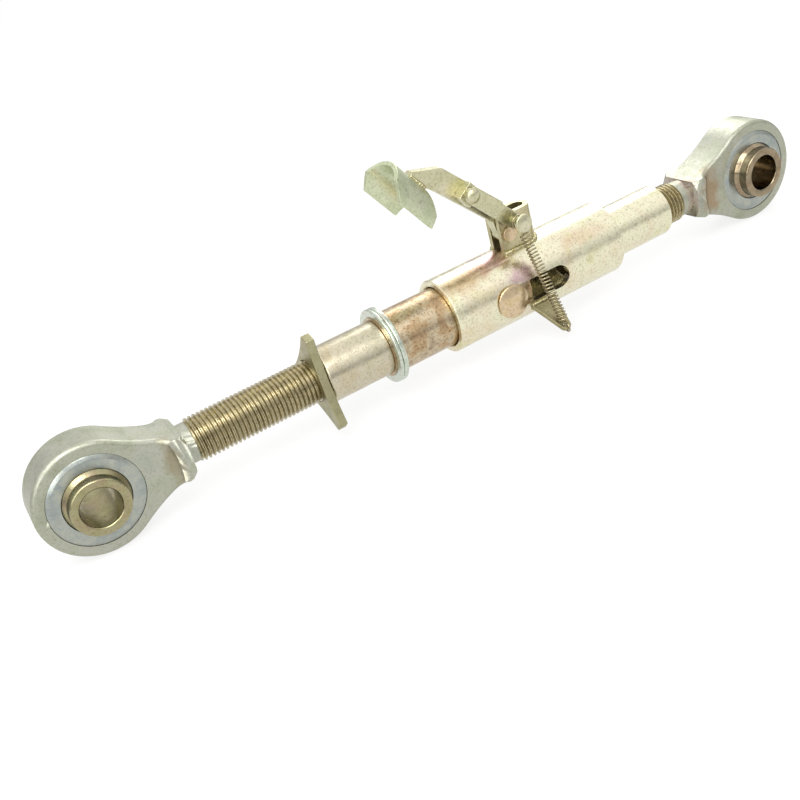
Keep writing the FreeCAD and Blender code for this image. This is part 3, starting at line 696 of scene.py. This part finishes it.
def spatter_tree() -> bpy.types.NodeTree:
    """Build the tree that throws weld spatter on a patch of surface.

    Returns:
        The geometry tree.
    """
    tree, given = geometry_tree(
        "weld_spatter",
        {
            "Patch": ("Geometry", None),
            "Density": ("Float", 20000.0),
            "Radius": ("Float", 0.0006),
            "Seed": ("Int", 5),
            "Material": ("Material", None),
        },
    )
    patch, density, radius, seed, material = (given.outputs[i] for i in range(5))
    points = add(
        tree, "GeometryNodeDistributePointsOnFaces", patch, named={"Density": density, "Seed": seed}
    )
    drop = add(tree, "GeometryNodeMeshIcoSphere", radius, 2)
    size = add(tree, "FunctionNodeRandomValue", named={2: 0.4, 3: 1.5, "Seed": seed}, data_type="FLOAT")
    drops = add(
        tree, "GeometryNodeInstanceOnPoints", points, named={"Instance": drop, "Scale": size.outputs[1]}
    )
    return close_tree(tree, drops, material)


# --- the finishes of this link ---------------------------------------------------------------------

# drop-forged steel, shot-blasted before plating: matt, so the eye sees body colour more than gloss
FORGED = Plating(
    "blasted_forging_yellow_zinc",
    ("#9EA18E", "#ABAE9C", "#B1B1A4", "#A5AB9C"),
    drift=22.0,
    roughness=0.46,
    grain=1.1,
    depth=0.05,
    dirt="#7C7650",
)
# ground ring with clear (blue) passivation: cold silver, with the sheen of fine grinding
CLEAR_ZINC = Plating(
    "ground_race_clear_zinc",
    ("#929A96", "#A3A79E", "#AEB0A1"),
    drift=9.0,
    roughness=0.3,
    marks=Marks.RINGS_ROUND_Y,
    mark_depth=0.006,
    dirt="#7F8BA0",
)
LEFT_BALL = Plating(
    "turned_ball_yellow_zinc",
    ("#969771", "#A19B79", "#9F9178"),
    drift=12.0,
    roughness=0.26,
    marks=Marks.RINGS_ROUND_Y,
    # the dark patch round the ball's centre is painted shade: it darkens the bore and fades out over the
    # hub face
    stains_and_shade=(StainAndShade((0.0, 0.0, 0.0), (21.0, 40.0, 21.0), "#86794C", 0.75),),
    dirt="#6A5F3E",
)
RIGHT_BALL = Plating(
    "turned_ball_warm_zinc",
    ("#9A8A70", "#9E9178", "#937D67"),
    drift=12.0,
    roughness=0.2,
    marks=Marks.RINGS_ROUND_Y,
    # the near-black patch round the ball's centre is painted shade: it darkens the bore and fades out over
    # the hub face
    stains_and_shade=(StainAndShade((540.0, 0.0, 0.0), (22.0, 40.0, 22.0), "#57503E", 0.95),),
    dirt="#6A5238",
)
# rolled thread: the oil of the rolling leaves the roots brown
ROLLED = Plating(
    "rolled_thread_zinc",
    ("#A49A79", "#B8AE8E", "#B1A681"),
    drift=10.0,
    roughness=0.3,
    dirt="#4E4128",
    dirt_share=0.3,
)
PLATE = Plating("sheared_plate_yellow_zinc", ("#93906C", "#A4A07E", "#A1997A"), roughness=0.4, depth=0.03)
PALE_TUBE = Plating(
    "turned_bush_yellow_zinc",
    ("#BEB89B", "#C7BFA9", "#C0B497"),
    drift=20.0,
    roughness=0.27,
    marks=Marks.RINGS_ROUND_X,
)
COPPERY_TUBE = Plating(
    "drawn_tube_brown_zinc",
    ("#A48B6C", "#B69C79", "#C5B699", "#AB9A81"),
    drift=11.0,
    roughness=0.3,
    marks=Marks.ALONG_X,
    mark_step=0.9,
    dirt="#5E4228",
    dirt_share=0.3,
)
STOP = Plating("pressed_ring_yellow_zinc", ("#BAC1AF", "#CCD5C8", "#C6BFB4"), roughness=0.28, drift=9.0)
PIN = Plating("headed_pin_yellow_zinc", ("#CBB78A", "#D5BFA0", "#BBA67C"), roughness=0.3, drift=7.0)
HOUSING = Plating(
    "drawn_housing_yellow_zinc",
    ("#DBD5AE", "#E3E0C4", "#E1D7BD", "#D8D0A4"),
    drift=26.0,
    roughness=0.26,
    marks=Marks.ALONG_X,
    mark_step=0.9,
    mark_depth=0.008,
    stains_and_shade=(
        StainAndShade((296.0, -6.0, 26.0), (22.0, 14.0, 10.0), "#C08FA0", 0.75),
        StainAndShade((312.0, -24.0, 14.0), (14.0, 10.0, 8.0), "#B98AA0", 0.6),
        StainAndShade((275.0, -12.0, 24.0), (30.0, 16.0, 8.0), "#C2A277", 0.6),
        StainAndShade((370.0, -20.0, 18.0), (24.0, 12.0, 6.0), "#C9AC8C", 0.45),
    ),
)
BRACKET = Plating("bent_strip_yellow_zinc", ("#A6A079", "#BBB38E", "#C6BD9F"), roughness=0.34, drift=9.0)
LEVER = Plating("sheared_bar_yellow_zinc", ("#B6B391", "#C5C2A1", "#D0CAB0"), roughness=0.33, drift=12.0)
SADDLE = Plating(
    "pressed_saddle_pale_zinc", ("#BBC4A2", "#CAD1B0", "#D5D7BC"), roughness=0.36, drift=14.0, depth=0.03
)
# the hollow kept the thickest chromate film, so its hue runs from gold over orange to blue-green
SADDLE_HOLLOW = Plating(
    "saddle_hollow_rainbow_zinc",
    ("#E0D074", "#E9C466", "#E1B26E", "#B0C291", "#95B698"),
    drift=16.0,
    roughness=0.28,
)
SPRING_WIRE = Plating("spring_wire_bronze", ("#968C6B", "#A89D7E", "#B1AA93"), roughness=0.3, drift=6.0)
WELD = Plating(
    "weld_metal_zinc", ("#A8A27C", "#BDB694", "#989068"), roughness=0.34, drift=4.0, grain=0.8, depth=0.08
)
TAB = Plating("sheared_tab_yellow_zinc", ("#898361", "#9C9471", "#A49B7A"), roughness=0.4, drift=8.0)


# --- sub-assemblies --------------------------------------------------------------------------------


@dataclass
class BallEye:
    """One end of the link: a forged eye on a threaded shank, its race and its swivel ball.

    Attributes:
        side: "left" or "right", as the CAD names begin.
        way: 1 where the shank points to +X, -1 where it points to -X.
        centre: Where the ball's centre is along X, in mm.
        neck: The neck's length from the centre to the relief, in mm.
        relief: The length of the smooth relief before the thread, in mm.
        shank: The shank's length beyond the neck, in mm.
        ball_finish: The finish of this side's ball.
        stains_and_shade: The patches on the forging.
        pitch: The thread's pitch in mm.
        radius: The thread's outside radius in mm.
        depth_share: The thread's depth as a share of its pitch.
    """

    side: str
    way: int
    centre: float
    neck: float
    relief: float
    shank: float
    ball_finish: Plating
    stains_and_shade: tuple[StainAndShade, ...] = ()
    pitch: float = 3.0
    radius: float = 15.0
    depth_share: float = 0.61

    def build(self) -> None:
        """Build and dress the eye's four pieces."""
        body = f"{self.side}_eye"
        stop = self.centre + self.way * (self.neck + self.relief)
        finish = replace(FORGED, name=f"{self.side}_{FORGED.name}", stains_and_shade=self.stains_and_shade)
        dressed(body, body, finish, 0.7, lambda mesh: trim(mesh, stop, self.way))
        self._thread(body, stop)
        dressed(f"{self.side}_race", body, CLEAR_ZINC, 0.35)
        dressed(f"{self.side}_ball", f"{self.side}_ball", self.ball_finish, 0.3)

    def _thread(self, body: str, stop: float) -> None:
        """Roll the shank's thread from the relief to the shank's end."""
        length = self.shank - self.relief
        start = stop if self.way > 0 else stop - length
        mesh = grow(
            "thread",
            thread_tree(),
            {
                "Start": start * MM,
                "Length": length * MM,
                "Pitch": self.pitch * MM,
                "Radius": self.radius * MM,
                "Depth": self.depth_share * self.pitch * MM,
            },
            empty_mesh(),
        )
        place_piece(f"{self.side}_thread", mesh, body, [ROLLED.material()], sharp=60.0)


@dataclass
class SlidingTube:
    """The inner member: threaded bush, tube, two stop rings and the cross pin."""

    def build(self) -> None:
        """Build and dress the inner member's pieces."""
        dressed("threaded_bush", "inner", PALE_TUBE, 0.5)
        dressed("inner_tube", "inner", COPPERY_TUBE, 0.4)
        dressed("stop_ring", "inner", STOP, 0.25)
        dressed("stop_collar", "inner", STOP, 0.25)
        dressed("cross_pin", "inner", PIN, 0.4)


@dataclass
class Weld:
    """A weld bead along a line, as the welder left it.

    Attributes:
        name: The piece's name.
        body: The CAD body that it moves with.
        slot: The record's material slot; not used.
        lines: The lines that it runs along, each a list of points in mm.
        radius: The size of one drop in mm.
        uneven: How far the drops' sizes wander, as a share.
        seed: The seed of that wandering.
        overlap: The step from drop to drop as a share of a drop's size.
    """

    name: str
    body: str
    slot: str
    lines: Sequence[Sequence[Point]]
    radius: float = 1.5
    uneven: float = 0.22
    seed: int = 3
    overlap: float = 0.62

    def build(self) -> None:
        """Lay the bead."""
        beads = []
        for number, line in enumerate(self.lines):
            values = {
                "Step": self.overlap * self.radius * MM,
                "Radius": self.radius * MM,
                "Unevenness": self.uneven,
                "Seed": self.seed + number,
            }
            beads.append(grow("bead", bead_tree(), values, empty_mesh(line)))
        bead = joined(self.name, beads)
        place_piece(self.name, bead, self.body, [WELD.material()], sharp=80.0)


@dataclass
class Housing:
    """The outer member: slotted tube, end bush, bracket with its pin, and the spring's fin.

    Attributes:
        radius: The tube's outside radius in mm.
        bracket_half: The bracket's half width in mm.
        fin_slope: How far below the level of the pin the fin points, in degrees.
        fin_half: Half of the fin's thickness in mm.
    """

    radius: float = 26.7
    bracket_half: float = 8.2
    fin_slope: float = 30.0
    fin_half: float = 1.6

    def build(self) -> None:
        """Build and dress the outer member's pieces."""
        dressed("housing_tube", "housing", HOUSING, 0.6)
        dressed("end_bush", "housing", HOUSING, 0.6)
        dressed("bracket", "housing", BRACKET, 0.5)
        dressed("pivot_pin", "housing", PIN, 0.4)
        dressed("spring_tab", "housing", TAB, 0.35)
        Weld("bracket_weld", "housing", "bracket_zinc", [self._round_bracket()], 1.7).build()
        Weld("tab_weld", "housing", "bracket_zinc", self._along_fin(), 1.3, seed=11).build()
        ring = [self._round_neck()]
        Weld("neck_weld", "housing", "housing_zinc", ring, 1.3, uneven=0.06, seed=23).build()
        self._spatter()

    def _round_bracket(self) -> list[Point]:
        """The line round the bracket's foot, on the tube."""
        low, high = (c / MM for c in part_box("bracket"))
        half = self.bracket_half + 0.5
        bend = high.x - self.bracket_half
        plan = [(low.x + 0.5, -half), (bend, -half)]
        turns = [math.radians(a) for a in range(15, 180, 15)]
        plan += [(bend + half * math.sin(a), -half * math.cos(a)) for a in turns]
        plan += [(bend, half), (low.x + 0.5, half)]
        return [(x, y, math.sqrt(self.radius**2 - y**2) + 0.1) for x, y in plan]

    def _along_fin(self) -> list[list[Point]]:
        """The two lines along the fin's foot."""
        low, high = (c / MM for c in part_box("spring_tab"))
        lines = []
        for side in (1, -1):
            aside = side * (self.fin_half + 0.6) / self.radius
            angle = math.radians(180 + self.fin_slope) + aside
            y, z = self.radius * math.cos(angle), self.radius * math.sin(angle)
            lines.append([(low.x + 0.8, y, z), (high.x - 0.8, y, z)])
        return lines

    def _round_neck(self) -> list[Point]:
        """The ring where the end bush leaves the tube."""
        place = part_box("housing_tube")[1].x / MM + 0.2
        neck = 19.5
        turns = [math.radians(a) for a in range(0, 361, 6)]
        return [(place, neck * math.cos(a), neck * math.sin(a)) for a in turns]

    def _spatter(self) -> None:
        """Throw weld spatter on the fin, on all of its faces but those that face along the link."""
        source = cad_copy("spring_tab")
        for face in list(source.faces):
            if abs(face.normal.x) > 0.5:
                source.faces.remove(face)
        values = {"Density": 26000.0, "Radius": 0.55 * MM, "Seed": 5}
        mesh = grow("spatter", spatter_tree(), values, to_mesh("patch", source))
        place_piece("tab_spatter", mesh, "housing", [WELD.material()], sharp=80.0)


@dataclass
class LockLever:
    """The flip-over lever: arm, saddle, strap with its block and rivet, and the spring's stud.

    Attributes:
        pivot: The pivot pin's place along X and Z in mm.
        swing: How far the lever stands up from its locked place, in degrees.
        hollow: The radius of the saddle's hollow in mm.
        seam: The two ends of the line where the arm's nose meets the saddle, as X and Z in mm.
        nose_half: Half of the arm's thickness in mm.
    """

    pivot: tuple[float, float] = (319.5, 38.0)
    swing: float = 55.0
    hollow: float = 22.0
    seam: tuple[tuple[float, float], tuple[float, float]] = ((258.9, 102.4), (266.6, 91.3))
    nose_half: float = 4.0

    def build(self) -> None:
        """Build and dress the lever's pieces."""
        dressed("lever_arm", "lever", LEVER, 0.6)
        self._saddle()
        dressed("lever_strap", "lever", LEVER, 0.9)
        dressed("strap_spacer", "lever", LEVER, 0.3)
        dressed("strap_rivet", "lever", LEVER, 0.4)
        dressed("spring_stud", "lever", LEVER, 0.5)
        lines = [[(x, side * (self.nose_half + 0.2), z) for x, z in self.seam] for side in (-1, 1)]
        Weld("nose_weld", "lever", "lever_zinc", lines, 1.6, seed=31).build()

    def _saddle(self) -> None:
        """Dress the saddle, with the rainbow film in its hollow."""
        source = cad_copy("saddle")
        soften(source, 0.5)
        turn = math.radians(self.swing)
        along = Vector((math.cos(turn), 0.0, -math.sin(turn)))
        drop = Vector((-self.pivot[1] * math.sin(turn), 0.0, -self.pivot[1] * math.cos(turn)))
        on_axis = (Vector((self.pivot[0], 0.0, self.pivot[1])) + drop) * MM
        for face in source.faces:
            away = face.calc_center_median() - on_axis
            out = away - along * away.dot(along)
            inward = face.normal.dot(out.normalized()) < -0.6
            face.material_index = int(inward and out.length < (self.hollow + 1.0) * MM)
        materials = [SADDLE.material(), SADDLE_HOLLOW.material()]
        mesh = to_mesh("saddle", source)
        place_piece("saddle_dressed", mesh, "lever", materials, ["saddle"])


@dataclass
class TensionSpring:
    """The over-centre spring, from the stud on the lever to the fin on the housing.

    Attributes:
        turns: How many turns it has.
        outer: The coil's outside radius in mm.
        wire: The wire's radius in mm.
        plane: How far towards -Y the loop on the stud lies, in mm.
        loop: The radius of that loop's wire line in mm.
        hook: The radius of the lower hook's wire line in mm.
        hook_reach: How far from the link's axis the hook's centre is, in mm.
        slope: How far below the level of the pin the hook is, in degrees.
        top_neck: The straight length above the coil in mm.
        bottom_neck: The straight length below it in mm.
        bend_length: How far below the stud it starts to follow the housing alone, in mm; not used.
    """

    turns: float = 27.0
    outer: float = 3.7
    wire: float = 0.6
    plane: float = 20.0
    loop: float = 4.6
    hook: float = 2.8
    hook_reach: float = 53.6
    slope: float = 30.0
    top_neck: float = 8.6
    bottom_neck: float = 6.6
    bend_length: float = 30.0

    def build(self) -> None:
        """Wind the coil, bend its two ends and hang it in."""
        stud = [(a + b) / 2 / MM for a, b in zip(*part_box("spring_stud"))]
        fin = [(a + b) / 2 / MM for a, b in zip(*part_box("spring_tab"))]
        below = math.radians(self.slope)
        top = Vector((stud[0], -self.plane, stud[2]))
        bottom = Vector((fin[0], -self.hook_reach * math.cos(below), -self.hook_reach * math.sin(below)))
        way = (bottom - top).normalized()
        start, end = top + way * self.top_neck, bottom - way * self.bottom_neck
        middle = self.outer - self.wire
        coil = grow(
            "coil",
            coil_tree(),
            {
                "Turns": self.turns,
                "Length": (end - start).length * MM,
                "Coil Radius": middle * MM,
                "Wire Radius": self.wire * MM,
            },
            empty_mesh(),
        )
        turned = way.to_track_quat("Z", "X").to_matrix()
        coil.transform(Matrix.Translation(start * MM) @ turned.to_4x4())
        side = turned @ Vector((middle, 0.0, 0.0))
        upper = self._end(top, Vector((0.0, 1.0, 0.0)), self.loop, start, side)
        lower = self._end(bottom, Vector((1.0, 0.0, 0.0)), self.hook, end, side)
        wires = [swept_wire("upper_end", upper, self.wire), swept_wire("lower_end", lower, self.wire)]
        mesh = joined("spring", [coil, *wires])
        materials = [SPRING_WIRE.material()]
        spring = place_piece("tension_spring", mesh, None, materials, ["spring"])
        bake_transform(spring)

    def _end(self, centre: Vector, axis: Vector, radius: float, coil: Vector, side: Vector) -> list[Point]:
        """The line of one end: from the coil's last turn inwards and once round its ring.

        Args:
            centre: The ring's centre in mm.
            axis: The direction across the ring.
            radius: The ring's radius in mm.
            coil: The middle of the coil's last turn in mm.
            side: From there to where the wire leaves the coil, in mm.

        Returns:
            The control points in mm.
        """
        out = coil - centre
        flat = (out - axis * out.dot(axis)).normalized()
        across = axis.cross(flat)
        points = [coil + side, coil + side * 0.7 - out.normalized() * 1.2]
        points.append(centre + flat * (radius + 1.2))
        for degrees in range(10, 341, 30):
            turn = math.radians(degrees)
            points.append(centre + (flat * math.cos(turn) + across * math.sin(turn)) * radius * 1.03)
        return [tuple(point) for point in points]


@dataclass
class Studio:
    """The pale floor, the soft lamps and the camera.

    Attributes:
        eye: The camera's place in mm.
        ahead: The direction that it looks in.
        upward: The direction that is up in its picture.
        lens: Its focal length in mm on a 36 mm wide sensor.
        floor_gap: How far below the object the floor lies, in mm.
        floor_half: Half of the floor's width in metres.
        floor_glow: How much of the floor that is seen is plain white.
        room_level: The strength of the room's light overhead.
    """

    eye: Point = (-23.2, -571.5, 303.9)
    ahead: Point = (0.3298, 0.8061, -0.4913)
    upward: Point = (0.4378, 0.3304, 0.8362)
    lens: float = 45.88
    floor_gap: float = 0.5
    floor_half: float = 4.0
    floor_glow: float = 0.8
    room_level: float = 1.25

    def build(self, lowest: float) -> None:
        """Set up the studio.

        Args:
            lowest: The height in metres of the object's lowest point.
        """
        self._camera()
        self._floor(lowest - self.floor_gap * MM)
        self._world()
        self._lamp("key", (-0.2, -0.7, 1.3), (0.3, 0.0, 0.0), (1.6, 0.7), 16.0)
        self._lamp("fill", (-1.1, -1.1, 0.7), (0.2, 0.0, 0.0), (0.9, 0.9), 7.0)
        self._lamp("rim", (1.1, 0.9, 0.8), (0.3, 0.0, 0.0), (0.8, 0.8), 6.0)
        bpy.context.scene.view_settings.view_transform = "Standard"

    def _camera(self) -> None:
        """Place the camera."""
        data = bpy.data.cameras.new("camera")
        data.lens, data.sensor_width = self.lens, 36.0
        camera = bpy.data.objects.new("camera", data)
        bpy.context.scene.collection.objects.link(camera)
        ahead = Vector(self.ahead).normalized()
        right = ahead.cross(Vector(self.upward)).normalized()
        turned = Matrix((right, right.cross(ahead), -ahead)).transposed()
        camera.matrix_world = Matrix.Translation(Vector(self.eye) * MM) @ turned.to_4x4()
        bpy.context.scene.camera = camera

    def _floor(self, height: float) -> None:
        """Lay the floor: white paper that keeps a faint shadow."""
        half = self.floor_half
        mesh = bpy.data.meshes.new("floor")
        corners = [(x * half, y * half, height) for x, y in ((-1, -1), (1, -1), (1, 1), (-1, 1))]
        mesh.from_pydata(corners, [], [(0, 1, 2, 3)])
        floor = bpy.data.objects.new("floor", mesh)
        bpy.context.scene.collection.objects.link(floor)
        material = bpy.data.materials.new("white_paper")
        material.use_nodes = True
        tree = material.node_tree
        tree.nodes.clear()
        paper = add(tree, "ShaderNodeBsdfDiffuse", linear("#F2F2F0"))
        glow = add(tree, "ShaderNodeEmission", (1.0, 1.0, 1.0, 1.0), 1.0)
        rays = add(tree, "ShaderNodeLightPath")
        kinds = ("Camera", "Glossy", "Transmission")
        camera, glossy, through = (rays.outputs[f"Is {kind} Ray"] for kind in kinds)
        seen = add(tree, "ShaderNodeMath", camera, glossy, operation="MAXIMUM")
        seen_all = add(tree, "ShaderNodeMath", seen, through, operation="MAXIMUM")
        share = add(tree, "ShaderNodeMath", seen_all, self.floor_glow, operation="MULTIPLY")
        add(tree, "ShaderNodeOutputMaterial", add(tree, "ShaderNodeMixShader", share, paper, glow))
        mesh.materials.append(material)
        floor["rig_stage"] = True

    def _world(self) -> None:
        """Light the room: a white backdrop, and walls a little darker than the ceiling."""
        world = bpy.data.worlds.new("studio")
        bpy.context.scene.world = world
        world.use_nodes = True
        tree = world.node_tree
        tree.nodes.clear()
        height = add(tree, "ShaderNodeSeparateXYZ", add(tree, "ShaderNodeTexCoord").outputs["Generated"])
        ramp = add(tree, "ShaderNodeValToRGB", height.outputs[2])
        stops = ramp.color_ramp.elements
        stops[0].position, stops[0].color = 0.12, linear("#B4B4B4")
        stops[1].position, stops[1].color = 0.55, (1.0, 1.0, 1.0, 1.0)
        rays = add(tree, "ShaderNodeLightPath")
        room = add(tree, "ShaderNodeBackground", ramp.outputs[0], self.room_level)
        white = add(tree, "ShaderNodeBackground", (1.0, 1.0, 1.0, 1.0), 1.0)
        mix = add(tree, "ShaderNodeMixShader", rays.outputs["Is Camera Ray"], room, white)
        add(tree, "ShaderNodeOutputWorld", mix)

    def _lamp(self, name: str, place: Point, aim: Point, size: tuple[float, float], power: float) -> None:
        """Hang one softbox.

        Args:
            name: The lamp's name.
            place: Where it hangs, in metres.
            aim: The point that it faces, in metres.
            size: Its width and height in metres.
            power: Its power in watts.
        """
        data = bpy.data.lights.new(name, "AREA")
        data.shape, data.size, data.size_y, data.energy = "RECTANGLE", size[0], size[1], power
        lamp = bpy.data.objects.new(name, data)
        bpy.context.scene.collection.objects.link(lamp)
        lamp.location = place
        lamp.rotation_euler = (Vector(aim) - Vector(place)).to_track_quat("-Z", "Y").to_euler()


LEFT_NECK_STAINS = (StainAndShade((50.0, -15.0, 0.0), (7.0, 8.0, 22.0), "#8E7F5E", 0.6),)
RIGHT_NECK_STAINS = (
    StainAndShade((494.0, -15.0, 0.0), (12.0, 9.0, 24.0), "#9A7C58", 0.7),
    StainAndShade((478.0, 0.0, 0.0), (5.0, 24.0, 24.0), "#B08A8C", 0.5),
)


def main() -> None:
    """Build the link's looks around its CAD frame."""
    logging.basicConfig(level=logging.INFO, format="%(name)s: %(message)s")
    for item in list(bpy.context.scene.objects):
        if "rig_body" not in item and item not in frame["bodies"].values():
            bpy.data.objects.remove(item)
    cad_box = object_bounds()
    BallEye("left", 1, 0.0, 61.0, 6.0, 154.0, LEFT_BALL, LEFT_NECK_STAINS).build()
    BallEye("right", -1, 540.0, 61.0, 9.0, 93.0, RIGHT_BALL, RIGHT_NECK_STAINS).build()
    dressed("lock_plate", "lock_plate", PLATE, 0.6)
    SlidingTube().build()
    Housing().build()
    LockLever().build()
    TensionSpring().build()
    Studio().build(cad_box[0].z)


if __name__ == "__main__":
    main()
